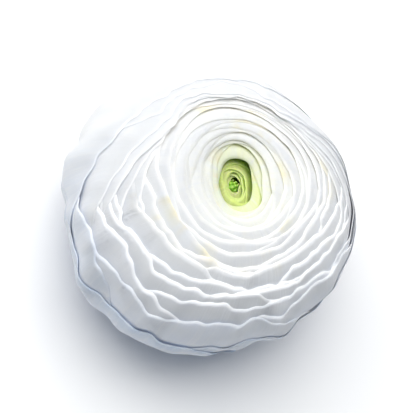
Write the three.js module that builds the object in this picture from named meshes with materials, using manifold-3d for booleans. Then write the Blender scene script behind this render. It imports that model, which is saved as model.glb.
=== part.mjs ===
// A white ranunculus bloom, cut just under its head and set down on the cut.
// Millimetres, +Z up. The origin is the middle of the cut face, on the surface that the bloom rests on.
// The near side (-Y) is full and upright, and the petals of the far side stand open.
import * as THREE from 'three';
import { mergeVertices } from 'three/addons/utils/BufferGeometryUtils.js';
import Module from 'manifold-3d';

const wasm = await Module();
wasm.setup();

// The bloom's outline: rims of the petals from the heart over the crest to the widest ring
const HEART_RADIUS = 3.9;
const HEART_HEIGHT = 40.8;
const CREST_RADIUS = 13;
const CREST_HEIGHT = 43.5;
const CREST_LAYER = 0.24;
const WIDE_RADIUS = { near: 33.2, far: 39.8 };
const WIDE_HEIGHT = { near: 33, far: 18.5 };
const RIM_TURN = { near: 60, far: 78 };
const OPEN_SIDE = 130;

// The layers: angles in degrees, from flat outwards (0) over upright (90) to curled inwards
const HEART_LEAN = 158;
const WIDE_LEAN = { near: 116, far: 84 };
const ROOT_RADIUS = { inner: 3.6, outer: 5.4 };
const ROOT_HEIGHT = { inner: 17, outer: 5 };
const ROOT_LEAN = { inner: 58, outer: -33 };

// Petals
const WHITE_PETALS = 45;
const GREEN_PETALS = 9;
const GOLDEN_ANGLE = 137.507764;
const GREEN_LAYER = { last: -0.026, step: 0.008 };
const PETAL_THICKNESS = 0.6;
const PETAL_HALF_ANGLE = { inner: 66, outer: 48 };
const LAYER_GAP = 0.03;

// Stem, receptacle and calyx
const STEM_RADIUS = 3.3;
const CALYX_HEIGHT = 3.9;
const RECEPTACLE_RADIUS = { low: 3.9, middle: 2.75, top: 2.1 };
const RECEPTACLE_TOP = 24.9;
const SEPALS = 5;
const SEPAL_THICKNESS = 0.6;
const SEPAL_HALF_WIDTH = 3.4;

// Carpels in the pit of the heart
const CARPEL_RADIUS = 4.3;
const CARPEL_HEIGHT = 12.2;
const CARPEL_RELIEF = 0.45;

// Room between pieces that touch on the real flower
const GAP = 0.35;

const radians = THREE.MathUtils.degToRad;
const mix = THREE.MathUtils.lerp;
const smooth = (x, a, b) => THREE.MathUtils.smoothstep(x, a, b);

// A fixed draw between 0 and 1 for petal number k
function draw(k, kind) {
  const x = Math.sin(k * 12.9898 + kind * 78.233) * 43758.5453;
  return x - Math.floor(x);
}

const swing = (k, kind, size) => (draw(k, kind) * 2 - 1) * size;

// How far the bloom stands open at an azimuth: 0 on the near side, 1 on the far side
function openness(azimuth) {
  return smooth(0.5 + 0.5 * Math.cos(azimuth - radians(OPEN_SIDE)), 0.15, 0.8);
}

// Rim radius and height of a layer: 0 is the heart, 1 the outermost petal
function rim(layer, open) {
  if (layer < CREST_LAYER) {
    const q = layer / CREST_LAYER;
    const drop = (CREST_HEIGHT - HEART_HEIGHT) * (1 - q) ** 2;
    return [mix(HEART_RADIUS, CREST_RADIUS, q), CREST_HEIGHT - drop];
  }
  const last = radians(mix(RIM_TURN.near, RIM_TURN.far, open));
  const turn = Math.min((layer - CREST_LAYER) / (1 - CREST_LAYER), 1) * last;
  const wide = mix(WIDE_RADIUS.near, WIDE_RADIUS.far, open);
  const low = mix(WIDE_HEIGHT.near, WIDE_HEIGHT.far, open);
  const radius = mix(CREST_RADIUS, wide, Math.sin(turn) / Math.sin(last));
  const height = mix(CREST_HEIGHT, low, (1 - Math.cos(turn)) / (1 - Math.cos(last)));
  return [radius, height];
}

// Radius and height on a layer, from its root (along 0) to its rim (along 1)
function onLayer(layer, along, open) {
  const [rimRadius, rimHeight] = rim(layer, open);
  const wideLean = mix(WIDE_LEAN.near, WIDE_LEAN.far, open);
  const outward = THREE.MathUtils.clamp((layer - CREST_LAYER) / (1 - CREST_LAYER), 0, 1);
  const lean = radians(mix(HEART_LEAN, wideLean, outward));
  const rootRadius = mix(ROOT_RADIUS.inner, ROOT_RADIUS.outer, layer);
  const rootHeight = mix(ROOT_HEIGHT.inner, ROOT_HEIGHT.outer, layer);
  const rootLean = radians(mix(ROOT_LEAN.inner, ROOT_LEAN.outer, Math.max(layer, 0) ** 0.8));
  const chord = Math.hypot(rimRadius - rootRadius, rimHeight - rootHeight);
  const rootPull = chord * mix(0.36, mix(0.5, 0.46, open), layer);
  const rimPull = chord * mix(0.44, mix(0.62, 0.34, open), layer);
  const root = new THREE.Vector2(rootRadius, rootHeight);
  const top = new THREE.Vector2(rimRadius, rimHeight);
  const rising = new THREE.Vector2(Math.cos(rootLean), Math.sin(rootLean)).multiplyScalar(rootPull);
  const arriving = new THREE.Vector2(Math.cos(lean), Math.sin(lean)).multiplyScalar(rimPull);
  const curve = new THREE.CubicBezierCurve(root, root.clone().add(rising), top.clone().sub(arriving), top);
  return curve.getPoint(along);
}

// The bloom is not quite round: gentle bends that move all the layers together
function bend(point, azimuth) {
  const radius = Math.hypot(point.x, point.y);
  const oval = (0.043 * Math.cos(azimuth + 0.67) + 0.022 * Math.cos(2 * azimuth - 2.69)
    + 0.028 * Math.cos(3 * azimuth - 1.55)) * smooth(radius, 5, 30);
  const flutes = 0.008 * Math.cos(8 * azimuth + 0.1 * point.z) * smooth(radius, 24, 38);
  const lift = (1.2 * Math.sin(azimuth) + 0.5 * Math.cos(2 * azimuth + 0.4)) * (radius / 40) ** 2;
  point.x *= 1 + oval + flutes;
  point.y *= 1 + oval + flutes;
  point.z += lift * smooth(point.z, 3, 20);
  return point;
}

function bloomPoint(layer, along, azimuth, inward = 0) {
  const open = openness(azimuth);
  const at = onLayer(layer, along, open);
  const radius = at.x - inward;
  return bend(new THREE.Vector3(radius * Math.cos(azimuth), radius * Math.sin(azimuth), at.y), azimuth);
}

// Past the tight bud the layers of the far side stand further out
function spacedLayer(layer, azimuth) {
  const push = LAYER_GAP * smooth(layer, 0.42, 0.54) * THREE.MathUtils.clamp((1 - layer) / 0.46, 0, 1);
  return layer + openness(azimuth) * push;
}

// What makes petal number k, counted from the heart outwards; green petals have numbers below 0
function petalRule(k) {
  const whiteLayer = (k + 0.5 + swing(k, 1, 0.15)) / WHITE_PETALS;
  const greenLayer = GREEN_LAYER.last + (k + 1) * GREEN_LAYER.step;
  const outward = Math.max(whiteLayer, 0);
  const halfAngle = mix(PETAL_HALF_ANGLE.inner, PETAL_HALF_ANGLE.outer, outward ** 0.8);
  return {
    layer: k < 0 ? greenLayer : whiteLayer,
    outward,
    azimuth: radians(k * GOLDEN_ANGLE) + swing(k, 2, 0.12),
    halfAngle: radians(halfAngle) * (1 + swing(k, 3, 0.07)),
    top: 0.965 + 0.035 * draw(k, 4),
    shoulder: mix(0.42, 0.52, outward) * (1 + swing(k, 5, 0.15)),
    roundness: mix(2.4, 3.2, outward),
    tilt: swing(k, 6, 0.03),
    wave: mix(0.5, 1, draw(k, 7)),
    phase: [8, 9, 10, 11].map((kind) => draw(k, kind) * 2 * Math.PI),
  };
}

// How far up its layer a petal reaches, across its width from -1 to 1
function petalTop(petal, across) {
  const arch = 1 - (1 - Math.abs(across) ** petal.roundness) ** (1 / petal.roundness);
  const notches = 0.008 * Math.sin(2.3 * Math.PI * across + petal.phase[0])
    + 0.005 * Math.sin(5.1 * Math.PI * across + petal.phase[1]);
  const top = petal.top - petal.shoulder * arch + petal.tilt * across;
  return Math.min(top + mix(0.4, 1.6, petal.outward) * notches, 1);
}

// A point on the middle of a petal's thickness
function petalPoint(petal, across, along) {
  const width = mix(0.3, 1, smooth(along, 0, 0.6));
  const azimuth = petal.azimuth + across * petal.halfAngle * width;
  const cycles = 2.6 * Math.PI * mix(0.8, 1.2, petal.wave);
  const ruffle = 0.62 * Math.sin(cycles * across + petal.phase[2])
    + 0.25 * Math.sin(6.2 * Math.PI * across + petal.phase[3]);
  const depth = petal.wave * mix(0.2, 1, petal.outward) * smooth(along, 0.5, 1) / WHITE_PETALS;
  const layer = Math.min(petal.layer + ruffle * depth, 1);
  return bloomPoint(spacedLayer(layer, azimuth), along, azimuth);
}

// A closed solid from a grid of points, joined round its edge to a second grid behind it
function gridSolid(front, back) {
  const rows = front.length;
  const columns = front[0].length;
  const points = [...front.flat(), ...back.flat()];
  const offset = rows * columns;
  const index = (i, j, side) => side * offset + i * columns + j;
  const faces = [];
  for (let i = 0; i < rows - 1; i += 1) {
    for (let j = 0; j < columns - 1; j += 1) {
      const f = [index(i, j, 0), index(i + 1, j, 0), index(i + 1, j + 1, 0), index(i, j + 1, 0)];
      const b = f.map((n) => n + offset);
      faces.push([f[0], f[1], f[2]], [f[0], f[2], f[3]], [b[0], b[2], b[1]], [b[0], b[3], b[2]]);
    }
  }
  const border = [];
  for (let i = 0; i < rows - 1; i += 1) border.push([i, 0]);
  for (let j = 0; j < columns - 1; j += 1) border.push([rows - 1, j]);
  for (let i = rows - 1; i > 0; i -= 1) border.push([i, columns - 1]);
  for (let j = columns - 1; j > 0; j -= 1) border.push([0, j]);
  border.forEach(([i, j], n) => {
    const [iNext, jNext] = border[(n + 1) % border.length];
    const a = index(i, j, 0);
    const b = index(iNext, jNext, 0);
    faces.push([a, a + offset, b + offset], [a, b + offset, b]);
  });
  return solidFrom(points, faces);
}

// A closed ring-shaped solid: a loop of points at every azimuth
function ringSolid(loopAt, sides) {
  const loops = Array.from({ length: sides }, (_, n) => loopAt((2 * Math.PI * n) / sides));
  const size = loops[0].length;
  const faces = [];
  for (let i = 0; i < sides; i += 1) {
    for (let j = 0; j < size; j += 1) {
      const a = i * size + j;
      const b = ((i + 1) % sides) * size + j;
      const aUp = i * size + ((j + 1) % size);
      const bUp = ((i + 1) % sides) * size + ((j + 1) % size);
      faces.push([a, b, bUp], [a, bUp, aUp]);
    }
  }
  return solidFrom(loops.flat(), faces);
}

// A solid of the joining library, turned right side out
function solidFrom(points, faces) {
  const vertProperties = new Float32Array(points.flatMap((p) => [p.x, p.y, p.z]));
  let volume = 0;
  faces.forEach(([a, b, c]) => {
    volume += points[a].dot(new THREE.Vector3().crossVectors(points[b], points[c]));
  });
  const triVerts = new Uint32Array(faces.flatMap(([a, b, c]) => (volume > 0 ? [a, b, c] : [a, c, b])));
  return new wasm.Manifold(new wasm.Mesh({ numProp: 3, vertProperties, triVerts }));
}

// Draws the ends of each very short edge together, where the surface stays closed
function withoutShortEdges(points, faces, limit) {
  const facesOf = points.map(() => new Set());
  faces.forEach((face) => face.forEach((n) => facesOf[n].add(face)));
  const neighbours = (n) => new Set([...facesOf[n]].flat().filter((m) => m !== n));
  points.forEach((point, a) => {
    for (const b of neighbours(a)) {
      const shared = [...facesOf[a]].filter((face) => facesOf[b].has(face));
      const around = neighbours(b);
      const common = [...neighbours(a)].filter((n) => around.has(n));
      if (shared.length !== 2 || common.length !== 2 || point.distanceTo(points[b]) > limit) continue;
      shared.forEach((face) => face.forEach((n) => facesOf[n].delete(face)));
      facesOf[b].forEach((face) => {
        face[face.indexOf(b)] = a;
        facesOf[a].add(face);
      });
      facesOf[b].clear();
    }
  });
  return faces.filter((face) => facesOf[face[0]].has(face));
}

// The largest body of a joined solid, as a geometry
function geometryFrom(solid) {
  const { vertProperties, triVerts } = solid.getMesh();
  const tolerance = 0.004;
  const joined = new wasm.Mesh({ numProp: 3, vertProperties, triVerts, tolerance });
  const bodies = new wasm.Manifold(joined).simplify().decompose();
  bodies.sort((a, b) => b.volume() - a.volume());
  const mesh = bodies[0].getMesh();
  const points = Array.from({ length: mesh.numVert }, (_, n) => new THREE.Vector3(...mesh.position(n)));
  const faces = Array.from({ length: mesh.numTri }, (_, n) => [...mesh.verts(n)]);
  const kept = withoutShortEdges(points, faces, tolerance);
  const geometry = new THREE.BufferGeometry().setFromPoints(points);
  geometry.setIndex(kept.flat());
  return geometry;
}

function solidFromGeometry(geometry) {
  const bare = geometry.clone();
  bare.deleteAttribute('normal');
  bare.deleteAttribute('uv');
  const merged = mergeVertices(bare, 1e-4);
  const place = merged.getAttribute('position');
  const points = [];
  for (let n = 0; n < place.count; n += 1) points.push(new THREE.Vector3().fromBufferAttribute(place, n));
  const faces = [];
  for (let n = 0; n < merged.index.count; n += 3) {
    faces.push([merged.index.getX(n), merged.index.getX(n + 1), merged.index.getX(n + 2)]);
  }
  return solidFrom(points, faces.filter(([a, b, c]) => a !== b && b !== c && c !== a));
}

// A thin blade: pointAt gives its middle surface, topAt its outline
function bladeSolid({ pointAt, topAt, root, thickness, across, rows }) {
  const front = [];
  const back = [];
  const step = 0.01;
  for (let i = 0; i <= across; i += 1) {
    const even = (2 * i) / across - 1;
    const w = mix(even, Math.sin((even * Math.PI) / 2), 0.5);
    const reach = Math.max(topAt(w) - root, 0.06);
    front.push([]);
    back.push([]);
    for (let j = 0; j <= rows; j += 1) {
      const s = root + reach * (j / rows) ** 0.85;
      const point = pointAt(w, s);
      const side = pointAt(w + step, s).sub(pointAt(w - step, s));
      const up = pointAt(w, s + step).sub(pointAt(w, s - step));
      const normal = side.cross(up).normalize().multiplyScalar(thickness / 2);
      front[i].push(point.clone().add(normal));
      back[i].push(point.clone().sub(normal));
    }
  }
  return gridSolid(front, back);
}

function petalSolid(k, root, across, rows) {
  const petal = petalRule(k);
  return bladeSolid({
    pointAt: (w, s) => petalPoint(petal, w, s),
    topAt: (w) => petalTop(petal, w),
    root,
    thickness: PETAL_THICKNESS,
    across,
    rows,
  });
}

function ringPoint(radius, height, azimuth) {
  return new THREE.Vector3(radius * Math.cos(azimuth), radius * Math.sin(azimuth), height);
}

// How far up its layer the core of packed petal bases reaches
const coreTop = (layer) => mix(0.66, 0.1, smooth(layer, 0.5, 1));

function whitePetals() {
  const crest = [0, 0.14, 0.3, 0.5, 0.7, 0.87, 1];
  const hole = RECEPTACLE_RADIUS.low + GAP;
  const neck = RECEPTACLE_RADIUS.middle + GAP;
  let solid = ringSolid((azimuth) => {
    const under = bloomPoint(1, coreTop(1), azimuth);
    under.z -= 0.55;
    return [
      ringPoint(hole, CALYX_HEIGHT + GAP, azimuth),
      ringPoint(neck, ROOT_HEIGHT.inner, azimuth),
      ...[0.12, 0.27, 0.43].map((along) => bloomPoint(0, along, azimuth)),
      ...crest.map((layer) => bloomPoint(layer, coreTop(layer), azimuth)),
      under,
    ];
  }, 16);
  for (let k = 0; k < WHITE_PETALS; k += 1) {
    const root = coreTop(petalRule(k).layer) - 0.05;
    solid = solid.add(petalSolid(k, root, 7, 2));
  }
  return geometryFrom(solid);
}

// The lime petals of the heart, round the pit that holds the carpels
function greenPetals() {
  const hole = RECEPTACLE_RADIUS.middle + GAP;
  let solid = ringSolid((azimuth) => [
    ringPoint(hole, 20.5, azimuth),
    ringPoint(hole, RECEPTACLE_TOP, azimuth),
    ringPoint(CARPEL_RADIUS + GAP, RECEPTACLE_TOP, azimuth),
    bloomPoint(-0.07, 0.5, azimuth),
    bloomPoint(-0.03, 0.54, azimuth),
    bloomPoint(0, 0.5, azimuth, 0.5),
    bloomPoint(0, 0.3, azimuth, 0.5),
    ringPoint(hole + 0.9, 20.5, azimuth),
  ], 14);
  for (let k = -GREEN_PETALS; k < 0; k += 1) {
    solid = solid.add(petalSolid(k, 0.44, 6, 3));
  }
  return geometryFrom(solid);
}

// A low cone of carpels, whose tips are raised from its surface in turning rows
function carpels() {
  const sides = 28;
  const rings = 11;
  const profile = Array.from({ length: rings + 1 }, (_, n) => {
    const turn = (n / rings) * (Math.PI / 2);
    return new THREE.Vector2(CARPEL_RADIUS * Math.cos(turn), CARPEL_HEIGHT * Math.sin(turn));
  });
  profile[rings].x = 0;
  const geometry = new THREE.LatheGeometry([new THREE.Vector2(0, 0), ...profile], sides);
  geometry.rotateX(Math.PI / 2);
  const place = geometry.getAttribute('position');
  for (let n = 0; n < place.count; n += 1) {
    const point = new THREE.Vector3().fromBufferAttribute(place, n);
    const radius = Math.hypot(point.x, point.y);
    const azimuth = Math.atan2(point.y, point.x);
    const row = (point.z / CARPEL_HEIGHT) * 9;
    const bump = Math.max(Math.cos(7 * azimuth + row * Math.PI) * Math.cos(row * 2), 0);
    const fade = smooth(point.z, 0.3, 1.5) * smooth(radius, 0, 1);
    const grow = 1 + (fade * bump * CARPEL_RELIEF) / Math.max(radius, 1);
    place.setXYZ(n, point.x * grow, point.y * grow, point.z);
  }
  geometry.translate(0, 0, RECEPTACLE_TOP + GAP);
  return geometryFrom(solidFromGeometry(geometry));
}

// The middle of a sepal's thickness, which follows the underside of the outermost petals
function sepalPoint(azimuth, across, along) {
  const radius = mix(3.2, 12.6, along);
  const height = mix(3.2, 0.75, Math.max(along, 0) ** 1.1);
  const half = SEPAL_HALF_WIDTH * Math.sin(Math.PI * mix(0.22, 0.97, along)) ** 0.7;
  const point = new THREE.Vector3(radius, across * half, height + 0.25 * across * across * (1 - along));
  return point.applyAxisAngle(new THREE.Vector3(0, 0, 1), azimuth);
}

function stemAndSepals() {
  const profile = [
    [0, 0],
    [STEM_RADIUS, 0],
    [STEM_RADIUS, 1.8],
    [RECEPTACLE_RADIUS.low, 2.6],
    [RECEPTACLE_RADIUS.low, CALYX_HEIGHT + GAP],
    [RECEPTACLE_RADIUS.middle, ROOT_HEIGHT.inner],
    [RECEPTACLE_RADIUS.top, RECEPTACLE_TOP],
    [0, RECEPTACLE_TOP],
  ].map(([radius, height]) => new THREE.Vector2(radius, height));
  const stem = new THREE.LatheGeometry(profile, 20);
  stem.rotateX(Math.PI / 2);
  let solid = solidFromGeometry(stem);
  for (let n = 0; n < SEPALS; n += 1) {
    const azimuth = radians((360 * n) / SEPALS + 20);
    solid = solid.add(bladeSolid({
      pointAt: (w, s) => sepalPoint(azimuth, w, s),
      topAt: () => 1,
      root: 0,
      thickness: SEPAL_THICKNESS,
      across: 4,
      rows: 5,
    }));
  }
  return geometryFrom(solid);
}

const flower = new THREE.Group();

function addPiece(name, geometry, look) {
  const material = new THREE.MeshStandardMaterial({ metalness: 0, ...look });
  const piece = new THREE.Mesh(geometry, material);
  piece.name = name;
  flower.add(piece);
}

addPiece('petals', whitePetals(), { color: 0xf4f4f6, roughness: 0.6 });
addPiece('green_petals', greenPetals(), { color: 0xc6da83, roughness: 0.6 });
addPiece('carpels', carpels(), { color: 0x7fb03a, roughness: 0.7 });
addPiece('stem_and_sepals', stemAndSepals(), { color: 0x8fae5a, roughness: 0.7 });

export default flower;
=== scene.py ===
"""The looks of a white ranunculus bloom: fine petals, heart, carpels, stem, materials, light and camera.

Shapes are worked out in millimetres from the same rule as the solids, and turned into metres when a mesh
is made. The bloom's axis is +Z and the camera looks at it from -Y. Its near side is full and upright, and
the petals of its far side stand open.
"""

import math

import bpy
import numpy as np
from mathutils import Matrix, Vector


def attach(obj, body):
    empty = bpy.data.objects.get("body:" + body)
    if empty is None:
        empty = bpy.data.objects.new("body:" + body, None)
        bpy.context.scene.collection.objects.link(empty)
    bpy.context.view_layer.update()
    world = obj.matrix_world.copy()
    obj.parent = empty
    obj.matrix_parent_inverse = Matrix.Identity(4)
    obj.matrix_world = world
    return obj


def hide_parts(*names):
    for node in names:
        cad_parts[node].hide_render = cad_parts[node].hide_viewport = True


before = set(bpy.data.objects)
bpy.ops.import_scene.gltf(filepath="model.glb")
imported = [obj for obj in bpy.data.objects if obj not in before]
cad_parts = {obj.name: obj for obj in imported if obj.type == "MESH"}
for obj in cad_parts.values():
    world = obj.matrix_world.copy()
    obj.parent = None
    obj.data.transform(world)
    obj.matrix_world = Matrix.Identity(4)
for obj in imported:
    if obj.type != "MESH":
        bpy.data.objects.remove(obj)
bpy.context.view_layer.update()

METRES = 0.001
TINY = 1e-6

# The near and far sides: which way the bloom opens, in degrees, and between which facings it changes
OPEN_SIDE = 130.0
OPEN_RISE = (0.15, 0.8)

# The dome of rims, from the heart (layer 0) over the crest to the widest ring (1); pairs are near and far
HEART_RADIUS = 3.9
HEART_HEIGHT = 40.8
CREST_RADIUS = 13.0
CREST_HEIGHT = 43.5
CREST_LAYER = 0.24
WIDE_RADIUS = (32.5, 39.2)
WIDE_HEIGHT = (33.0, 18.5)
RIM_TURN = (60.0, 78.0)
SLOPE_STEP = 0.004

# The root of a petal, and its lean from flat outwards in degrees; pairs are the inner and the outer layers
ROOT_RADIUS = (3.6, 5.4)
ROOT_HEIGHT = (17.0, 5.0)
ROOT_LEAN = (58.0, -33.0)
ROOT_LEAN_POWER = 0.8

# How far a petal leans off the dome's slope where it meets it, in degrees; lime petals have their own lean
HEART_LEAN = 165.0
HEART_RIM_LIFT = 12.0
RIM_LIFT = 2.5
RIM_LIFT_LAYERS = (0.04, 0.2)
NEAR_RIM_LIFT = 8.0
NEAR_RIM_LIFT_LAYERS = (0.4, 0.8)

# How far a petal keeps to the lean of its root and rim, as shares of its rise; pairs are near and far
INNER_ROOT_PULL = 0.36
OUTER_ROOT_PULL = (0.50, 0.46)
INNER_RIM_PULL = 0.44
OUTER_RIM_PULL = (0.62, 0.34)

# White and lime petals in golden-angle order; pairs are for inner and outer petals
WHITE_PETALS = 50
GREEN_PETALS = 9
GOLDEN_ANGLE = 137.507764
LAYER_SWING = 0.06
AZIMUTH_SWING = 0.12
GREEN_LAYER_LAST = -0.026
GREEN_LAYER_STEP = 0.006
PETAL_HALF_ANGLE = (150.0, 74.0)
PETAL_HALF_ANGLE_LAYERS = (0.3, 0.5)
HALF_ANGLE_SWING = 0.07

# The form of a petal's rim, as shares of its layer's length; a notch is (size, count over the width)
PETAL_TOP = (0.975, 1.0)
SHOULDER = (0.34, 0.52)
SHOULDER_SWING = 0.15
ROUNDNESS = (3.0, 3.6)
ROUNDNESS_LAYERS = (0.2, 0.6)
TILT_SWING = 0.03
LOW_RIM = 0.24
LOW_RIM_DRAW = (0.6, 1.0)
LOW_RIM_LAYERS = (0.84, 1.0)
NOTCHES = ((0.008, 2.3), (0.005, 5.1))
NOTCH_STRENGTH = (0.4, 2.2)
FINE_NOTCHES = ((0.006, 11), (0.004, 19))

# The ruffle that bends a petal in and out by a share of one layer
RUFFLE = 0.08
RUFFLE_DRAW = (0.5, 1.0)
RUFFLE_STRENGTH = (0.3, 1.0)
RUFFLE_SIZES = (0.62, 0.25)
RUFFLE_WAVES = (2.6, 6.2)
RUFFLE_WAVES_DRAW = (0.8, 1.2)
RUFFLE_ALONG = (0.5, 1.0)

# A blade's own form: where it begins, how narrow and how thick it is, and its columns and rows
PETAL_ROOT = 0.04
ROOT_WIDTH = 0.3
FULL_WIDTH_ALONG = 0.6
PETAL_THICKNESS = 0.08
RIM_THICKNESS = 0.04
THINNER_AT_RIM = (0.80, 1.0)
THINNER_AT_SIDES = (0.85, 1.0)
ROOT_THICKNESS_SHARE = 0.5
FULL_THICKNESS_AT = 0.25
SHORTEST_BLADE = 0.06
BLADE_STEP = 0.004
ROW_SPACING_POWER = 0.8
PLAIN_GRID = (80, 30)
FINE_GRID = (100, 40)
FINER_FROM = 31

# Guard petals follow the white ones and hug the far side of the dome; pairs are innermost and outermost
HUG_SIDE = 140.0
HUG_START = (0.05, 0.42)
HUG_END = (0.8, 0.88)
GUARD_LAYERS = (0.48, 0.98)
SKIN_GAP = 3.6
RISE_WEIGHT = 1.1

# Each guard petal's turn from that side and its half angle, in degrees, and the layer that it reaches up to
GUARDS = (
    (5.0, 122.0, 0.40), (-4.0, 119.0, 0.41), (-3.0, 115.0, 0.40), (-15.0, 112.0, 0.42),
    (-5.0, 108.0, 0.40), (6.0, 105.0, 0.43), (-18.0, 98.0, 0.47), (22.0, 78.0, 0.55))

# The pieces of white petals, by their first number and the number after their last
WHORLS = {
    "petals_heart": (0, 11),
    "petals_bud": (11, 21),
    "petals_middle": (21, 31),
    "petals_outer": (31, 41),
    "petals_low": (41, WHITE_PETALS),
    "petals_guard": (WHITE_PETALS, WHITE_PETALS + len(GUARDS)),
}

# Loose bunches of rims on the near side
BUNCHES = 5.0
BUNCH_SIZE = 0.017
BUNCHED_LAYERS = (0.36, 0.5)
BUNCHES_FADE = 0.25
BUNCH_TURN = 1.4
BUNCH_TURN_START = 0.6
SMALL_BUNCH_TURN = 0.7

# Waves round the axis that all layers share: (share of the radius, count, turn for a mm of height, start)
OUTLINE_WAVES = ((0.043, 1, 0.0, 0.67), (0.022, 2, 0.0, -2.69), (0.028, 3, 0.0, -1.55))
FLUTES = ((0.008, 8, 0.1, 0.0),)
FOLDS = ((0.012, 15, 0.12, 0.0), (0.005, 29, -0.2, 1.0))
RIPPLES = ((0.016, 11, 0.13, 0.0), (0.008, 19, -0.19, 2.0))

# Crumples are such waves with a wavering start: (share, count, turn, size of the waver, its turn)
CRUMPLES = ((0.006, 21, 0.3, 0.5, 0.25), (0.0012, 34, -0.4, 1.0, 0.3))
CRUMPLE_WAVERS = 5

# Where those waves show: radii in mm, a side in degrees, shares of the rise, and depths near and far
OUTLINE_RADII = (5, 30)
SURFACE_RADII = (22, 36)
FOLDED_SIDE = 250.0
FOLDED_RISE = (0.4, 1.0)
RIPPLE_RISE = (0.4, 0.95)
RIPPLE_DEPTH = (1.0, 0.3)
RIPPLE_SHIFT = 0.12
RIPPLE_SHIFT_START = 0.8

# The oval of the heart, as a share of the radius, and the lift of the bloom, in mm at a radius
HEART_OVAL = 0.2
HEART_OVAL_SIDE = 135.0
HEART_OVAL_RADII = (15, 4)
TILT_LIFT = 1.2
SADDLE_LIFT = 0.5
SADDLE_START = 0.4
LIFT_RADIUS = 40.0
LIFT_HEIGHTS = (3, 20)

# What is drawn for each petal, in the order of the draws, and the factors that spread the draws
DRAWS = ("layer", "azimuth", "half_angle", "top", "shoulder", "tilt", "wave", "notch", "small_notch",
         "ruffle", "small_ruffle", "tint", "low_rim")
PETAL_FACTOR = 12.9898
DRAW_FACTOR = 78.233
DRAW_SPREAD = 43758.5453


def mix(a, b, f):
    return a + (b - a) * f


def between(pair, f):
    return mix(pair[0], pair[1], f)


def smooth(x, a, b):
    """0 before a, 1 after b, and a smooth rise between them; a may be the larger one."""
    f = np.clip((x - a) / (b - a), 0.0, 1.0)
    return f * f * (3.0 - 2.0 * f)


def draw(k, name):
    """A fixed draw between 0 and 1 for petal number k."""
    x = math.sin(k * PETAL_FACTOR + (DRAWS.index(name) + 1) * DRAW_FACTOR) * DRAW_SPREAD
    return x - math.floor(x)


def swing(k, name, size):
    return (draw(k, name) * 2.0 - 1.0) * size


def facing(azimuth, side):
    """1 where an azimuth in radians points to a side in degrees, falling to 0 on the opposite side."""
    return 0.5 + 0.5 * np.cos(azimuth - math.radians(side))


def openness(azimuth):
    """How far the bloom stands open: 0 on the near side, 1 on the far side."""
    return smooth(facing(azimuth, OPEN_SIDE), *OPEN_RISE)


def hugging(azimuth, layer):
    """How closely a guard petal hugs the bud: 1 on the far side, and 0 on the near side."""
    outward = (layer - GUARD_LAYERS[0]) / (GUARD_LAYERS[1] - GUARD_LAYERS[0])
    return smooth(facing(azimuth, HUG_SIDE), between(HUG_START, outward), between(HUG_END, outward))


def bunched(layer, azimuth):
    """Moves the layers of the near side into loose bunches, without changing their order."""
    size = BUNCH_SIZE * smooth(layer, *BUNCHED_LAYERS) * np.clip((1 - layer) / BUNCHES_FADE, 0, 1)
    turn = BUNCH_TURN * np.sin(azimuth + BUNCH_TURN_START) + SMALL_BUNCH_TURN * np.sin(3 * azimuth)
    return layer + size * (1 - openness(azimuth)) * np.sin(2 * math.pi * BUNCHES * layer + turn)


def rim(layer, is_open):
    """Rim radius and height of a layer: 0 is the heart, 1 the outermost petal."""
    q = layer / CREST_LAYER
    inner_radius = mix(HEART_RADIUS, CREST_RADIUS, q)
    inner_height = CREST_HEIGHT - (CREST_HEIGHT - HEART_HEIGHT) * (1.0 - q) ** 2
    last = np.radians(between(RIM_TURN, is_open))
    turn = np.clip((layer - CREST_LAYER) / (1.0 - CREST_LAYER), 0.0, 1.0) * last
    outwards = np.sin(turn) / np.sin(last)
    downwards = (1.0 - np.cos(turn)) / (1.0 - np.cos(last))
    outer_radius = mix(CREST_RADIUS, between(WIDE_RADIUS, is_open), outwards)
    outer_height = mix(CREST_HEIGHT, between(WIDE_HEIGHT, is_open), downwards)
    inside = layer < CREST_LAYER
    return np.where(inside, inner_radius, outer_radius), np.where(inside, inner_height, outer_height)


def dome_slope(layer, is_open):
    """The way up along the dome of rims at a layer, as a unit step in radius and height."""
    outer_radius, outer_height = rim(layer + SLOPE_STEP, is_open)
    inner_radius, inner_height = rim(layer - SLOPE_STEP, is_open)
    length = np.hypot(inner_radius - outer_radius, inner_height - outer_height)
    return (inner_radius - outer_radius) / length, (inner_height - outer_height) / length


def rim_lean(layer, is_open):
    """A petal's lean where it meets the dome, from flat outwards (0) over upright to curled inwards."""
    out, up = dome_slope(layer, is_open)
    lift = mix(HEART_RIM_LIFT, RIM_LIFT, smooth(layer, *RIM_LIFT_LAYERS))
    lift = mix(lift, NEAR_RIM_LIFT, smooth(layer, *NEAR_RIM_LIFT_LAYERS) * (1 - is_open))
    lean = np.mod(np.arctan2(up, out), 2 * math.pi) - np.radians(lift)
    return np.where(layer < 0, np.radians(HEART_LEAN), lean)


def cubic(f, start, after_start, before_end, end):
    """A cubic curve from start (f 0) to end (f 1), drawn towards the two points between them."""
    return ((1 - f) ** 3 * start + 3 * f * (1 - f) ** 2 * after_start
            + 3 * f ** 2 * (1 - f) * before_end + f ** 3 * end)


def rise_length(layer, is_open):
    """The straight length from a layer's root to its place on the dome."""
    dome_radius, dome_height = rim(layer, is_open)
    return np.hypot(dome_radius - between(ROOT_RADIUS, layer), dome_height - between(ROOT_HEIGHT, layer))


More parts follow.
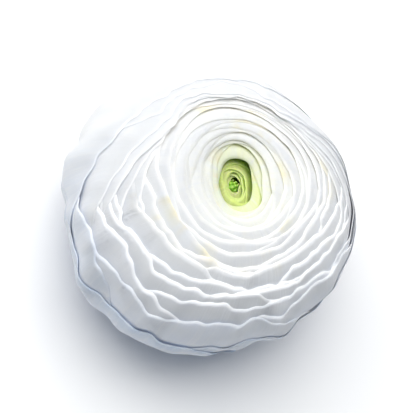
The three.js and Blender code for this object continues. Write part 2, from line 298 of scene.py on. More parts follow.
def rising(layer, rise, is_open):
    """Radius and height on a layer's way from its root (rise 0) to its place on the dome (rise 1)."""
    root_radius = between(ROOT_RADIUS, layer)
    root_height = between(ROOT_HEIGHT, layer)
    dome_radius, dome_height = rim(layer, is_open)
    root_lean = np.radians(between(ROOT_LEAN, np.maximum(layer, 0.0) ** ROOT_LEAN_POWER))
    dome_lean = rim_lean(layer, is_open)
    length = rise_length(layer, is_open)
    root_pull = length * mix(INNER_ROOT_PULL, between(OUTER_ROOT_PULL, is_open), layer)
    rim_pull = length * mix(INNER_RIM_PULL, between(OUTER_RIM_PULL, is_open), layer)
    radius = cubic(rise, root_radius, root_radius + root_pull * np.cos(root_lean),
                   dome_radius - rim_pull * np.cos(dome_lean), dome_radius)
    height = cubic(rise, root_height, root_height + root_pull * np.sin(root_lean),
                   dome_height - rim_pull * np.sin(dome_lean), dome_height)
    return radius, height


def over_dome(layer, reach, over, is_open):
    """Radius and height on a way over the dome, from a layer's own place (over 0) to its reach (over 1)."""
    below = mix(layer, reach, over)
    radius, height = rim(below, is_open)
    out, up = dome_slope(below, is_open)
    stand_off = SKIN_GAP * (layer - below)
    return radius + stand_off * up, height - stand_off * out


def on_layer(layer, reach, along, is_open):
    """Radius, height and share of the rise on a layer, from its root (along 0) to its rim (along 1).

    A petal rises inside the bloom to its own place on the dome, and from there it may hug the dome up to
    the place of a more inward layer, which is its reach. Where the reach is its own layer, it only rises.
    """
    dome_radius, dome_height = rim(layer, is_open)
    reach_radius, reach_height = rim(reach, is_open)
    hugged = np.hypot(reach_radius - dome_radius, reach_height - dome_height)
    risen = RISE_WEIGHT * rise_length(layer, is_open)
    split = risen / (risen + hugged)
    rise = np.minimum(along / split, 1.0)
    over = np.clip((along - split) / np.maximum(1 - split, TINY), 0.0, 1.0) * (hugged > TINY)
    radius, height = rising(layer, rise, is_open)
    over_radius, over_height = over_dome(layer, reach, over, is_open)
    return np.where(over > 0, over_radius, radius), np.where(over > 0, over_height, height), rise


def waves(rows, azimuth, height=0.0):
    return sum(size * np.cos(count * azimuth + turn * height + start)
               for size, count, turn, start in rows)


def crumples(azimuth, height):
    """Small uneven dents, as shares of the radius."""
    total = 0.0
    for size, count, turn, waver, waver_turn in CRUMPLES:
        start = waver * np.sin(waver_turn * height + CRUMPLE_WAVERS * azimuth)
        total = total + size * np.cos(count * azimuth + turn * height + start)
    return total


def ripples(azimuth, height, rise):
    """Fine waves of the rims, which neighbouring layers nearly share; they are deepest on the near side."""
    uneven = azimuth + RIPPLE_SHIFT * np.sin(2 * azimuth + RIPPLE_SHIFT_START)
    depth = between(RIPPLE_DEPTH, openness(azimuth))
    return waves(RIPPLES, uneven, height) * smooth(rise, *RIPPLE_RISE) * depth


def outline(azimuth, radius):
    """The uneven outline of the outer layers and the oval of the heart, as shares of the radius."""
    oval = np.cos(2 * (azimuth - math.radians(HEART_OVAL_SIDE))) * smooth(radius, *HEART_OVAL_RADII)
    return waves(OUTLINE_WAVES, azimuth) * smooth(radius, *OUTLINE_RADII) + HEART_OVAL * oval


def surface_waves(azimuth, radius, height, rise):
    """Flutes, folds, crumples and ripples of the outer layers, as shares of the radius."""
    folded = smooth(facing(azimuth, FOLDED_SIDE), *FOLDED_RISE)
    flutes = waves(FLUTES, azimuth, height) + folded * waves(FOLDS, azimuth, height)
    dents = crumples(azimuth, height) * (1 - openness(azimuth))
    return (flutes + dents + ripples(azimuth, height, rise)) * smooth(radius, *SURFACE_RADII)


def bloom_points(layer, reach, along, azimuth):
    """Points of the bloom, with the gentle bends that move all its layers together."""
    radius, height, rise = on_layer(layer, reach, along, openness(azimuth))
    wide = radius * (1 + outline(azimuth, radius) + surface_waves(azimuth, radius, height, rise))
    lift = TILT_LIFT * np.sin(azimuth) + SADDLE_LIFT * np.cos(2 * azimuth + SADDLE_START)
    up = height + lift * (radius / LIFT_RADIUS) ** 2 * smooth(height, *LIFT_HEIGHTS)
    return np.stack([wide * np.cos(azimuth), wide * np.sin(azimuth), up], axis=-1)


def petal_place(k):
    """Layer, azimuth, half angle, lowering of the rim, and reach of petal number k.

    Lime petals have numbers below 0, and white ones are counted outwards from 0. Neither has a reach.
    Outer petals of the near side have lowered rims.
    """
    if k >= WHITE_PETALS:
        guard = k - WHITE_PETALS
        turn, half_angle, reach = GUARDS[guard]
        layer = round(between(GUARD_LAYERS, guard / (len(GUARDS) - 1)) * WHITE_PETALS) / WHITE_PETALS
        return layer, math.radians(HUG_SIDE + turn), half_angle, 0.0, reach
    layer = (k + 0.5 + swing(k, "layer", LAYER_SWING)) / WHITE_PETALS
    if k < 0:
        layer = GREEN_LAYER_LAST + (k + 1) * GREEN_LAYER_STEP
    azimuth = math.radians(k * GOLDEN_ANGLE) + swing(k, "azimuth", AZIMUTH_SWING)
    half_angle = between(PETAL_HALF_ANGLE, smooth(layer, *PETAL_HALF_ANGLE_LAYERS))
    lowered = smooth(layer, *LOW_RIM_LAYERS) * (1 - openness(azimuth))
    return layer, azimuth, half_angle, LOW_RIM * between(LOW_RIM_DRAW, draw(k, "low_rim")) * lowered, None


def petal_rule(k):
    """What makes petal number k."""
    layer, azimuth, half_angle, lowered, reach = petal_place(k)
    outward = max(layer, 0.0)
    notch, small_notch, turn, small_turn = (
        draw(k, name) * 2 * math.pi for name in ("notch", "small_notch", "ruffle", "small_ruffle"))
    wave = between(RUFFLE_DRAW, draw(k, "wave"))
    return {
        "layer": layer,
        "outward": outward,
        "azimuth": azimuth,
        "half_angle": math.radians(half_angle) * (1 + swing(k, "half_angle", HALF_ANGLE_SWING)),
        "reach": reach,
        "top": between(PETAL_TOP, draw(k, "top")) - lowered,
        "shoulder": between(SHOULDER, outward) * (1 + swing(k, "shoulder", SHOULDER_SWING)),
        "roundness": between(ROUNDNESS, smooth(outward, *ROUNDNESS_LAYERS)),
        "tilt": swing(k, "tilt", TILT_SWING),
        "notch_starts": (notch, small_notch),
        "fine_starts": (turn * 3, 0.0),
        "ruffle": RUFFLE * wave * between(RUFFLE_STRENGTH, outward) if reach is None else 0.0,
        "ruffle_waves": (RUFFLE_WAVES[0] * between(RUFFLE_WAVES_DRAW, wave), RUFFLE_WAVES[1]),
        "ruffle_starts": (turn, small_turn),
    }


def cross_waves(rows, starts, across):
    """Waves over a petal's width; a row is (size, count), and each has its own start."""
    return sum(size * np.sin(count * math.pi * across + start)
               for (size, count), start in zip(rows, starts))


def petal_top(petal, across):
    """How far up its layer a petal reaches, across its width from -1 to 1."""
    power = petal["roundness"]
    arch = 1 - (1 - np.minimum(np.abs(across), 1.0) ** power) ** (1 / power)
    top = petal["top"] - petal["shoulder"] * arch + petal["tilt"] * across
    notches = cross_waves(NOTCHES, petal["notch_starts"], across)
    fine = cross_waves(FINE_NOTCHES, petal["fine_starts"], across)
    outward = petal["outward"]
    return np.minimum(top + between(NOTCH_STRENGTH, outward) * notches + fine * outward, 1.0)


def petal_points(petal, across, along):
    """Points on the middle of a petal's thickness."""
    width = mix(ROOT_WIDTH, 1.0, smooth(along, 0.0, FULL_WIDTH_ALONG))
    azimuth = petal["azimuth"] + across * petal["half_angle"] * width
    ruffle = cross_waves(zip(RUFFLE_SIZES, petal["ruffle_waves"]), petal["ruffle_starts"], across)
    depth = petal["ruffle"] * smooth(along, *RUFFLE_ALONG) / WHITE_PETALS
    layer = np.minimum(bunched(petal["layer"] + ruffle * depth, azimuth), 1.0)
    reach = layer
    if petal["reach"] is not None:
        reach = mix(layer, petal["reach"], hugging(azimuth, petal["layer"]))
    return bloom_points(layer, reach, along, azimuth)


def petal_thickness(across, share):
    edge = np.maximum(smooth(share, *THINNER_AT_RIM), smooth(np.abs(across), *THINNER_AT_SIDES))
    from_root = mix(ROOT_THICKNESS_SHARE, 1.0, smooth(share, 0.0, FULL_THICKNESS_AT))
    return mix(PETAL_THICKNESS, RIM_THICKNESS, edge) * from_root


def blade_faces(columns, rows):
    """Faces of a closed blade: the front, the back with its vertices after the front's, and the border."""
    count = (columns + 1) * (rows + 1)
    index = np.arange(count).reshape(columns + 1, rows + 1)
    corners = [index[:-1, :-1], index[1:, :-1], index[1:, 1:], index[:-1, 1:]]
    front = np.stack(corners, axis=-1).reshape(-1, 4)
    back = front[:, ::-1] + count
    loop = np.concatenate([index[:-1, 0], index[-1, :-1], index[:0:-1, -1], index[0, :0:-1]])
    after = np.roll(loop, -1)
    border = np.stack([loop, loop + count, after + count, after], axis=-1)
    return np.concatenate([front, back, border]).tolist()


def blade(points_at, top_at, root, thickness_at, columns, rows):
    """A closed thin blade as vertices, faces and its own coordinates at every vertex.

    Across goes from -1 to 1 over its width, with closer columns at its sides. Share goes from 0 at its root
    to 1 at its rim, with closer rows at the rim.
    """
    even = np.linspace(-1.0, 1.0, columns + 1)
    across = (0.5 * even + 0.5 * np.sin(even * math.pi / 2))[:, None] * np.ones((1, rows + 1))
    share = np.ones((columns + 1, 1)) * (np.linspace(0.0, 1.0, rows + 1) ** ROW_SPACING_POWER)[None, :]
    along = root + np.maximum(top_at(across) - root, SHORTEST_BLADE) * share
    middle = points_at(across, along)
    side = points_at(across + BLADE_STEP, along) - points_at(across - BLADE_STEP, along)
    up = points_at(across, along + BLADE_STEP) - points_at(across, along - BLADE_STEP)
    normal = np.cross(side, up)
    normal /= np.linalg.norm(normal, axis=-1, keepdims=True)
    half = thickness_at(across, share)[..., None] / 2
    front = (middle + normal * half).reshape(-1, 3)
    back = (middle - normal * half).reshape(-1, 3)
    own = {"across": np.tile(across.ravel(), 2), "share": np.tile(share.ravel(), 2)}
    return np.concatenate([front, back]), blade_faces(columns, rows), own


def petal_blade(k):
    """Petal number k as a blade, with what its material reads at every vertex."""
    petal = petal_rule(k)
    grid = FINE_GRID if k >= FINER_FROM else PLAIN_GRID
    vertices, faces, own = blade(
        lambda across, along: petal_points(petal, across, along),
        lambda across: petal_top(petal, across), PETAL_ROOT, petal_thickness, *grid)
    own["layer"] = np.full(len(vertices), petal["layer"])
    own["petal"] = np.full(len(vertices), draw(k, "tint"))
    # How far each vertex lies on the near side, where the material paints shade
    own["near"] = 1 - openness(np.arctan2(vertices[:, 1], vertices[:, 0]))
    return vertices, faces, own


def make_piece(name, blades, material, replaced):
    """One object from several closed blades, riding on the body."""
    offset = 0
    all_faces = []
    for vertices, faces, _ in blades:
        all_faces += [[n + offset for n in face] for face in faces]
        offset += len(vertices)
    all_vertices = np.concatenate([vertices for vertices, _, _ in blades]) * METRES
    mesh = bpy.data.meshes.new(name)
    mesh.from_pydata(all_vertices.tolist(), [], all_faces)
    for key in blades[0][2]:
        values = np.concatenate([own[key] for _, _, own in blades]).astype(np.float32)
        mesh.attributes.new(key, "FLOAT", "POINT").data.foreach_set("value", values)
    mesh.polygons.foreach_set("use_smooth", [True] * len(mesh.polygons))
    mesh.materials.append(material)
    mesh.update()
    piece = bpy.data.objects.new(name, mesh)
    bpy.context.scene.collection.objects.link(piece)
    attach(piece, "root")
    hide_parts(replaced)


class Shading:
    """A material's node tree, with a short call for each kind of node used here."""

    def __init__(self, name, roughness, specular):
        self.material = bpy.data.materials.new(name)
        self.material.use_nodes = True
        self.tree = self.material.node_tree
        self.shader = self.tree.nodes["Principled BSDF"]
        self.shader.inputs["Roughness"].default_value = roughness
        self.shader.inputs["Specular IOR Level"].default_value = specular

    def node(self, kind, **settings):
        node = self.tree.nodes.new(kind)
        for key, value in settings.items():
            setattr(node, key, value)
        return node

    def link(self, source, target):
        self.tree.links.new(source, target)

    def feed(self, socket, value):
        if isinstance(value, bpy.types.NodeSocket):
            self.link(value, socket)
        else:
            socket.default_value = value

    def attribute(self, name):
        return self.node("ShaderNodeAttribute", attribute_name=name).outputs["Fac"]

    def object_place(self):
        return self.node("ShaderNodeTexCoord").outputs["Object"]

    def math(self, operation, *values):
        node = self.node("ShaderNodeMath", operation=operation)
        for socket, value in zip(node.inputs, values):
            self.feed(socket, value)
        return node.outputs["Value"]

    def product(self, first, *others):
        for other in others:
            first = self.math("MULTIPLY", first, other)
        return first

    def vector(self, x, y, z):
        node = self.node("ShaderNodeCombineXYZ")
        for socket, value in zip(node.inputs, (x, y, z)):
            self.feed(socket, value)
        return node.outputs["Vector"]

    def noise(self, vector, scale, detail=3.0, roughness=0.55):
        node = self.node("ShaderNodeTexNoise")
        self.link(vector, node.inputs["Vector"])
        node.inputs["Scale"].default_value = scale
        node.inputs["Detail"].default_value = detail
        node.inputs["Roughness"].default_value = roughness
        return node.outputs["Fac"]

    def rise(self, value, low, high):
        """0 below low, 1 above high, and a smooth rise between them; low may be the larger one."""
        node = self.node("ShaderNodeMapRange", interpolation_type="SMOOTHSTEP")
        self.feed(node.inputs["Value"], value)
        node.inputs["From Min"].default_value = low
        node.inputs["From Max"].default_value = high
        return node.outputs["Result"]

    def ramp(self, value, stops):
        node = self.node("ShaderNodeValToRGB")
        elements = node.color_ramp.elements
        for element, (place, colour) in zip(elements, (stops[0], stops[-1])):
            element.position = place
            element.color = (*colour, 1)
        for place, colour in stops[1:-1]:
            elements.new(place).color = (*colour, 1)
        self.feed(node.inputs["Fac"], value)
        return node.outputs["Color"]

    def blend(self, share, first, second):
        node = self.node("ShaderNodeMix", data_type="RGBA", blend_type="MIX")
        self.feed(node.inputs["Factor"], share)
        for socket, colour in ((node.inputs["A"], first), (node.inputs["B"], second)):
            self.feed(socket, colour if isinstance(colour, bpy.types.NodeSocket) else (*colour, 1))
        return node.outputs["Result"]

    def tint(self, under, colour, *shares):
        """Lays a colour over the one under it, as much as the product of the shares says."""
        return self.blend(self.product(*shares), under, colour)

    def bump(self, height, strength, distance):
        node = self.node("ShaderNodeBump")
        node.inputs["Strength"].default_value = strength
        node.inputs["Distance"].default_value = distance
        self.link(height, node.inputs["Height"])
        self.link(node.outputs["Normal"], self.shader.inputs["Normal"])

    def translucent(self, scale, radius):
        self.shader.inputs["Subsurface Weight"].default_value = 1.0
        self.shader.inputs["Subsurface Radius"].default_value = radius
        self.shader.inputs["Subsurface Scale"].default_value = scale

    def finish(self, colour):
        self.link(colour, self.shader.inputs["Base Color"])
        return self.material


# Streaks of the petals: how close they lie, how far they waver, and the step between petals' patterns
FIBRES_ACROSS = 42.0
VEINS_ACROSS = 11.0
VEIN_WAVER = 0.12
PATTERN_STEP = 71.0

# White petals: colours by layer from the heart outwards
WHITE_BY_LAYER = (
    (0.00, (0.78, 0.90, 0.34)), (0.04, (0.92, 0.94, 0.64)), (0.10, (0.96, 0.95, 0.84)),
    (0.30, (0.965, 0.955, 0.915)), (0.50, (0.955, 0.955, 0.95)), (0.80, (0.93, 0.94, 0.965)),
    (1.00, (0.915, 0.93, 0.965)))

# Painted shade on the near side: darker, bluer colour on its outermost layers and on the faces of its outer
# petals below their rims
NEAR_PAINTED_SHADE = (0.58, 0.67, 0.82)
NEAR_PAINTED_SHADE_LAYERS = (0.82, 1.0)
BELOW_RIM_PAINTED_SHADE = (0.72, 0.76, 0.86)
BELOW_RIM_STRENGTH = 0.75
BELOW_RIM_SHARES = (0.995, 0.86)
BELOW_RIM_LAYERS = (0.25, 0.6)

# Tints of the streaks, the green roots and the aged rims, with their strengths and where each of them rises
WHITE_VEIN = (0.86, 0.87, 0.90)
WHITE_VEIN_STRENGTH = 0.35
WHITE_VEIN_RISE = (0.42, 0.75)
WHITE_FIBRE = (0.98, 0.98, 0.97)
WHITE_FIBRE_STRENGTH = 0.25
WHITE_FIBRE_RISE = (0.5, 0.8)
GREEN_ROOT = (0.62, 0.76, 0.26)
GREEN_ROOT_STRENGTH = 0.8
GREEN_ROOT_SHARES = (0.42, 0.05)
GREEN_ROOT_LAYERS = (0.9, 0.1)
AGED_RIM = (0.93, 0.78, 0.42)
AGED_RIM_STRENGTH = 0.8
AGED_RIM_SHARES = (0.90, 1.0)
AGED_RIM_LAYERS = (0.75, 0.3)
AGED_RISE = (0.52, 0.72)
AGED_STEP = 9.0

# Lime petals, by the share from root to rim, and their veins
LIME_BY_SHARE = (
    (0.00, (0.22, 0.42, 0.03)), (0.50, (0.40, 0.62, 0.09)), (0.85, (0.51, 0.71, 0.15)),
    (1.00, (0.60, 0.76, 0.24)))
LIME_VEIN = (0.74, 0.92, 0.28)
LIME_VEIN_STRENGTH = 0.5
LIME_VEIN_RISE = (0.45, 0.75)

# Carpels, stem and floor: mottled colours as stops of a noise, and the tints laid over them
CARPEL_BODY = ((0.3, (0.22, 0.50, 0.03)), (0.7, (0.38, 0.68, 0.08)))
CARPEL_TIP = (0.62, 0.84, 0.24)
STEM_SKIN = ((0.3, (0.22, 0.36, 0.08)), (0.7, (0.38, 0.52, 0.16)))
STEM_FIBRE = (0.46, 0.58, 0.24)
STEM_FIBRE_RISE = (0.45, 0.7)
STEM_PITH = ((0.3, (0.62, 0.70, 0.40)), (0.7, (0.80, 0.84, 0.62)))
STEM_STRETCH = (1.0, 1.0, 0.08)
FLOOR_TONE = ((0.3, (0.83, 0.83, 0.84)), (0.7, (0.85, 0.85, 0.85)))


def petal_veins(shading):
    """Streaks along the petal: fine fibres and a few broader veins that waver from root to rim."""
    across = shading.attribute("across")
    share = shading.attribute("share")
    pattern = shading.math("MULTIPLY", shading.attribute("petal"), PATTERN_STEP)
    drift = shading.noise(shading.vector(across, share, pattern), scale=2.0)
    bent = shading.math("ADD", across, shading.math("MULTIPLY", drift, VEIN_WAVER))
    over_fibres = shading.math("MULTIPLY", bent, FIBRES_ACROSS)
    over_veins = shading.math("MULTIPLY", bent, VEINS_ACROSS)
    fibres = shading.noise(shading.vector(over_fibres, share, pattern), scale=2.2)
    veins = shading.noise(shading.vector(over_veins, share, pattern), scale=1.6, detail=2.0)
    return fibres, veins


def streak_bump(shading, fibres, veins, fibre_height):
    height = shading.math("ADD", shading.math("MULTIPLY", fibres, fibre_height), veins)
    shading.bump(height, strength=0.5, distance=0.00025)


def petal_material():
    """White petals: green near the heart and at their roots, with painted shade darker and bluer on the
    near side, aged at some rims.
    """
    shading = Shading("white_petal", roughness=0.55, specular=0.3)
    shading.translucent(scale=0.0002, radius=(1.0, 0.96, 0.90))
    layer = shading.attribute("layer")
    share = shading.attribute("share")
    near = shading.attribute("near")
    fibres, veins = petal_veins(shading)
    age_pattern = shading.math("MULTIPLY", shading.attribute("petal"), AGED_STEP)
    age = shading.noise(shading.vector(shading.attribute("across"), layer, age_pattern), scale=3.0)
    colour = shading.ramp(layer, WHITE_BY_LAYER)
    # Painted shade: the outermost layers of the near side are coloured darker and bluer
    colour = shading.tint(colour, NEAR_PAINTED_SHADE, shading.rise(layer, *NEAR_PAINTED_SHADE_LAYERS), near)
    # Painted shade: the faces of the near side's outer petals darken and turn bluer below their rims,
    # towards the crease above the next rim
    colour = shading.tint(
        colour, BELOW_RIM_PAINTED_SHADE, shading.rise(share, *BELOW_RIM_SHARES),
        shading.rise(layer, *BELOW_RIM_LAYERS), near, BELOW_RIM_STRENGTH)
    colour = shading.tint(
        colour, WHITE_VEIN, shading.rise(veins, *WHITE_VEIN_RISE), WHITE_VEIN_STRENGTH)
    colour = shading.tint(
        colour, WHITE_FIBRE, shading.rise(fibres, *WHITE_FIBRE_RISE), WHITE_FIBRE_STRENGTH)
    colour = shading.tint(
        colour, GREEN_ROOT, shading.rise(share, *GREEN_ROOT_SHARES),
        shading.rise(layer, *GREEN_ROOT_LAYERS), GREEN_ROOT_STRENGTH)
    colour = shading.tint(
        colour, AGED_RIM, shading.rise(share, *AGED_RIM_SHARES), shading.rise(age, *AGED_RISE),
        shading.rise(layer, *AGED_RIM_LAYERS), AGED_RIM_STRENGTH)
    streak_bump(shading, fibres, veins, fibre_height=0.35)
    return shading.finish(colour)


def green_petal_material():
    shading = Shading("green_petal", roughness=0.5, specular=0.35)
    shading.translucent(scale=0.0003, radius=(0.8, 1.0, 0.35))
    fibres, veins = petal_veins(shading)
    colour = shading.ramp(shading.attribute("share"), LIME_BY_SHARE)
    colour = shading.tint(colour, LIME_VEIN, shading.rise(veins, *LIME_VEIN_RISE), LIME_VEIN_STRENGTH)
    streak_bump(shading, fibres, veins, fibre_height=0.4)
    return shading.finish(colour)


def carpel_material():
    shading = Shading("carpel", roughness=0.45, specular=0.4)
    shading.translucent(scale=0.0006, radius=(0.7, 1.0, 0.3))
    mottle = shading.noise(shading.object_place(), scale=900.0)
    body = shading.ramp(mottle, CARPEL_BODY)
    shading.bump(mottle, strength=0.3, distance=0.0002)
    return shading.finish(shading.tint(body, CARPEL_TIP, shading.attribute("tip")))


def stem_material():
    """Stem, receptacle and sepals: mottled green with fibres along the stem, and a cut end of pale pith."""
    shading = Shading("stem_green", roughness=0.5, specular=0.35)
    shading.translucent(scale=0.0008, radius=(0.8, 1.0, 0.4))
    place = shading.object_place()
    mottle = shading.noise(place, scale=350.0)
    stretched = shading.node("ShaderNodeMapping")
    stretched.inputs["Scale"].default_value = STEM_STRETCH
    shading.link(place, stretched.inputs["Vector"])
    fibres = shading.noise(stretched.outputs["Vector"], scale=1800.0)
    mottled = shading.ramp(mottle, STEM_SKIN)
    skin = shading.tint(mottled, STEM_FIBRE, shading.rise(fibres, *STEM_FIBRE_RISE))
    pith = shading.ramp(shading.noise(place, scale=2200.0), STEM_PITH)
    height = shading.math("ADD", fibres, shading.math("MULTIPLY", mottle, 0.5))
    shading.bump(height, strength=0.4, distance=0.0003)
    return shading.finish(shading.blend(shading.attribute("cut"), skin, pith))


def floor_material():
    shading = Shading("floor", roughness=0.7, specular=0.2)
    return shading.finish(shading.ramp(shading.noise(shading.object_place(), scale=14.0), FLOOR_TONE))


def build_petals():
    material = petal_material()
    for name, (first, after_last) in WHORLS.items():
        blades = [petal_blade(k) for k in range(first, after_last)]
        make_piece(name, blades, material, "petals")


def build_green_petals():
    blades = [petal_blade(k) for k in range(-GREEN_PETALS, 0)]
    make_piece("lime_petals", blades, green_petal_material(), "green_petals")


# The carpels stand in golden-angle order on a cone, with a lighter hooked tip on each
CARPELS = 120
CARPEL_CONE_RADIUS = 3.9
CARPEL_CONE_HEIGHT = 13.7
CARPEL_CONE_BASE = 25.25
CARPEL_CONE_GRID = (14, 40)
CARPEL_SIZE = (0.42, 0.42, 0.62)
CARPEL_GRID = (9, 10)
CARPEL_NARROWING = 0.55
CARPEL_TIP_FROM = (0.1, 0.95)
CARPEL_TIP_RISE = 0.7
CARPEL_TIP_BEND = 0.5
CARPEL_UPRIGHT = 0.8


def closed_lathe(profile, sides, relief=None):
    """A closed turned shape from (radius, height) pairs whose ends lie on the axis."""
    ring = np.linspace(0, 2 * math.pi, sides, endpoint=False)
    inner = profile[1:-1]
    radius = np.array([r for r, _ in inner])[:, None] * np.ones((1, sides))
    height = np.array([z for _, z in inner])[:, None] * np.ones((1, sides))
    if relief is not None:
        radius = radius + relief(height, ring[None, :])
    turned_rings = np.stack([radius * np.cos(ring), radius * np.sin(ring), height], axis=-1).reshape(-1, 3)
    ends = np.array([(0, 0, profile[0][1]), (0, 0, profile[-1][1])])
    vertices = np.concatenate([turned_rings, ends])
    index = np.arange(len(inner) * sides).reshape(len(inner), sides)
    turned = np.roll(index, -1, axis=1)
    faces = []
    for low in range(len(inner) - 1):
        faces += np.stack([index[low], turned[low], turned[low + 1], index[low + 1]], axis=-1).tolist()
    first, last = len(vertices) - 2, len(vertices) - 1
    faces += [[first, b, a] for a, b in zip(index[0], turned[0])]
    faces += [[last, a, b] for a, b in zip(index[-1], turned[-1])]
    return vertices, faces


def carpel_shape():
    """One carpel along +Z: a plump seed case that narrows to a bent tip."""
    rings, sides = CARPEL_GRID
    profile = [(math.sin(t) * mix(1.0, CARPEL_NARROWING, t / math.pi), -math.cos(t))
               for t in np.linspace(0, math.pi, rings)]
    vertices, faces = closed_lathe(profile, sides)
    tip = smooth(vertices[:, 2], *CARPEL_TIP_FROM)
    vertices[:, 2] += CARPEL_TIP_RISE * tip
    vertices[:, 0] += CARPEL_TIP_BEND * tip ** 2
    return vertices * CARPEL_SIZE, faces, tip


def carpel_cone():
    """The cone that the carpels stand on, up to its rounded top."""
    rings, sides = CARPEL_CONE_GRID
    profile = [(CARPEL_CONE_RADIUS * math.cos(t), CARPEL_CONE_BASE + CARPEL_CONE_HEIGHT * math.sin(t))
               for t in np.linspace(0, math.pi / 2, rings)]
    return closed_lathe([(0, CARPEL_CONE_BASE), *profile[:-1], (0, profile[-1][1])], sides)


def build_carpels():
    shape, shape_faces, shape_tip = carpel_shape()
    vertices, faces = carpel_cone()
    blades = [(vertices, faces, {"tip": np.zeros(len(vertices))})]
    for n in range(CARPELS):
        turn = math.acos(1 - (n + 0.5) / CARPELS)
        azimuth = math.radians(n * GOLDEN_ANGLE)
        flat = math.sin(turn)
        out = Vector((flat * math.cos(azimuth), flat * math.sin(azimuth), math.cos(turn)))
        centre = Vector((out.x * CARPEL_CONE_RADIUS, out.y * CARPEL_CONE_RADIUS,
                         CARPEL_CONE_BASE + CARPEL_CONE_HEIGHT * out.z))
        lean = out + Vector((0, 0, CARPEL_UPRIGHT))
        rotation = np.array(lean.to_track_quat("Z", "X").to_matrix())
        blades.append((shape @ rotation.T + np.array(centre), shape_faces, {"tip": shape_tip}))
    make_piece("carpel_cone", blades, carpel_material(), "carpels")


# Stem stub and receptacle, as on the solids, from the cut end up; a pair is a radius and a height
STEM_RADIUS = 3.3
CUT_RINGS = (0.0, 0.5, 0.8, 0.97)
CUT_TOP = 0.06
STEM_HEIGHTS = (0.12, 0.6, 1.2, 1.8)
STEM_FLARE = (3.62, 2.2)
CALYX_RADIUS = 3.9
CALYX_HEIGHTS = (2.6, 3.4, 3.9)
RECEPTACLE = ((2.75, ROOT_HEIGHT[0]), (2.1, 24.7), (0, 24.9))
STEM_RIBS = 11
RIB_DEPTH = 0.07
RIBBED_FROM = (0.1, 0.5)
RIBBED_UP_TO = 4.9
SIDES_FOR_EACH_RIB = 8

# Sepals; pairs are for root and tip
SEPALS = 5
SEPAL_TURN = 20
SEPAL_RADIUS = (3.2, 12.6)
SEPAL_HEIGHT = (3.2, 0.75)
SEPAL_DROP_POWER = 1.1
SEPAL_HALF_WIDTH = 3.4
SEPAL_TAPER = (0.22, 0.97)
SEPAL_TAPER_POWER = 0.7
SEPAL_CUP = 0.25
SEPAL_WAVE = 0.12
SEPAL_WAVE_ALONG = 9
SEPAL_WAVE_ACROSS = 4
SEPAL_THICKNESS = 0.4
SEPAL_EDGE_THICKNESS = 0.15
SEPAL_EDGE = (0.6, 1.0)
SEPAL_GRID = (20, 26)


def stem_ribs(height, azimuth):
    """Grooves between the stem's ribs, on its skin alone."""
    on_skin = smooth(height, *RIBBED_FROM) * (height < RIBBED_UP_TO)
    return RIB_DEPTH * (np.cos(STEM_RIBS * azimuth) - 1) * on_skin


def build_stem(material):
    cut = [(share * STEM_RADIUS, 0.0) for share in CUT_RINGS]
    skin = [(STEM_RADIUS, height) for height in STEM_HEIGHTS]
    calyx = [(CALYX_RADIUS, height) for height in CALYX_HEIGHTS]
    profile = [*cut, *skin, STEM_FLARE, *calyx, *RECEPTACLE]
    vertices, faces = closed_lathe(profile, SIDES_FOR_EACH_RIB * STEM_RIBS, stem_ribs)
    own = {"cut": (vertices[:, 2] < CUT_TOP).astype(float)}
    make_piece("stem_stub", [(vertices, faces, own)], material, "stem_and_sepals")


def sepal_points(azimuth, across, along):
    """Points on the middle of a sepal's thickness."""
    radius = between(SEPAL_RADIUS, along)
    height = between(SEPAL_HEIGHT, np.maximum(along, 0.0) ** SEPAL_DROP_POWER)
    half = SEPAL_HALF_WIDTH * np.sin(math.pi * between(SEPAL_TAPER, along)) ** SEPAL_TAPER_POWER
    wave = SEPAL_WAVE * np.sin(SEPAL_WAVE_ALONG * along + SEPAL_WAVE_ACROSS * across)
    curl = SEPAL_CUP * across ** 2 * (1 - along) + wave
    side = across * half
    return np.stack([radius * math.cos(azimuth) - side * math.sin(azimuth),
                     radius * math.sin(azimuth) + side * math.cos(azimuth), height + curl], axis=-1)


def sepal_top(across):
    return np.ones_like(across)


def sepal_thickness(across, share):
    return mix(SEPAL_THICKNESS, SEPAL_EDGE_THICKNESS, smooth(np.abs(across), *SEPAL_EDGE))


def build_sepals(material):
    blades = []
    for n in range(SEPALS):
        azimuth = math.radians(360 * n / SEPALS + SEPAL_TURN)
        vertices, faces, own = blade(
            lambda across, along: sepal_points(azimuth, across, along),
            sepal_top, 0.0, sepal_thickness, *SEPAL_GRID)
        own["cut"] = np.zeros(len(vertices))
        blades.append((vertices, faces, own))
    make_piece("sepals", blades, material, "stem_and_sepals")


def aim(piece, target):
    piece.rotation_mode = "QUATERNION"
    piece.rotation_quaternion = (target - piece.location).to_track_quat("-Z", "Y")


# The camera looks down on the bloom, rolled so that the far side is at the upper right of the picture
FRAME_PIXELS = 413
CAMERA_HEIGHT_ANGLE = 60.0
CAMERA_ROLL = 45.0
CAMERA_DISTANCE = 0.62
CAMERA_TARGET = Vector((0.0, 0.0, 0.024))
PIXELS_PER_METRE = 4114.0
FRAME_SHIFT = (-0.0120, 0.0045)
SENSOR_WIDTH = 36.0


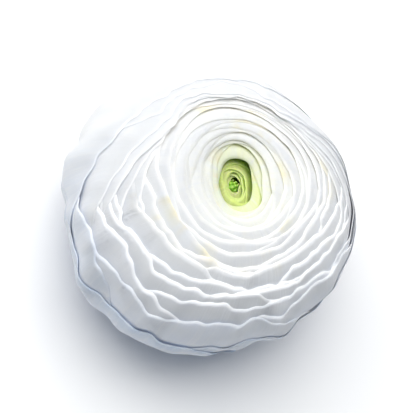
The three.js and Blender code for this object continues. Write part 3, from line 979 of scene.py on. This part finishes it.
def build_camera():
    data = bpy.data.cameras.new("camera")
    camera = bpy.data.objects.new("camera", data)
    bpy.context.scene.collection.objects.link(camera)
    angle = math.radians(CAMERA_HEIGHT_ANGLE)
    camera.location = CAMERA_TARGET + CAMERA_DISTANCE * Vector((0.0, -math.cos(angle), math.sin(angle)))
    aim(camera, CAMERA_TARGET)
    roll = Matrix.Rotation(math.radians(CAMERA_ROLL), 4, "Z").to_quaternion()
    camera.rotation_quaternion = camera.rotation_quaternion @ roll
    data.sensor_width = SENSOR_WIDTH
    data.lens = data.sensor_width * CAMERA_DISTANCE * PIXELS_PER_METRE / FRAME_PIXELS
    data.shift_x, data.shift_y = FRAME_SHIFT
    bpy.context.scene.camera = camera


# A pale floor, a broad soft light at the upper left of the picture and a dim blue sky; lengths in metres
FLOOR_HALF = 3.0
LIGHT_TARGET = Vector((0.0, 0.0, 0.02))
KEY_LIGHT = {
    "azimuth": 158,
    "height": 68,
    "distance": 1.2,
    "size": 1.7,
    "power": 29,
    "colour": (1, 0.99, 0.97),
}
SKY_COLOUR = (0.74, 0.86, 1.0)
SKY_STRENGTH = 0.22
LIGHT_BOUNCES = 10


def build_floor():
    corners = [(-FLOOR_HALF, -FLOOR_HALF, 0), (FLOOR_HALF, -FLOOR_HALF, 0),
               (FLOOR_HALF, FLOOR_HALF, 0), (-FLOOR_HALF, FLOOR_HALF, 0)]
    mesh = bpy.data.meshes.new("floor")
    mesh.from_pydata(corners, [], [(0, 1, 2, 3)])
    floor = bpy.data.objects.new("floor", mesh)
    bpy.context.scene.collection.objects.link(floor)
    mesh.materials.append(floor_material())


def area_light(name, azimuth, height, distance, size, power, colour):
    data = bpy.data.lights.new(name, "AREA")
    data.size = size
    data.energy = power
    data.color = colour
    light = bpy.data.objects.new(name, data)
    bpy.context.scene.collection.objects.link(light)
    flat = math.cos(math.radians(height))
    light.location = distance * Vector((
        flat * math.cos(math.radians(azimuth)), flat * math.sin(math.radians(azimuth)),
        math.sin(math.radians(height))))
    aim(light, LIGHT_TARGET)


def build_light():
    """The lights; they bounce often enough to pass on between the thin petals."""
    area_light("key", **KEY_LIGHT)
    world = bpy.data.worlds.new("sky")
    bpy.context.scene.world = world
    world.use_nodes = True
    background = world.node_tree.nodes["Background"]
    background.inputs["Color"].default_value = (*SKY_COLOUR, 1)
    background.inputs["Strength"].default_value = SKY_STRENGTH
    bpy.context.scene.view_settings.view_transform = "Standard"
    bpy.context.scene.cycles.diffuse_bounces = LIGHT_BOUNCES


build_petals()
build_green_petals()
build_carpels()
green_stem = stem_material()
build_stem(green_stem)
build_sepals(green_stem)
build_floor()
build_light()
build_camera()
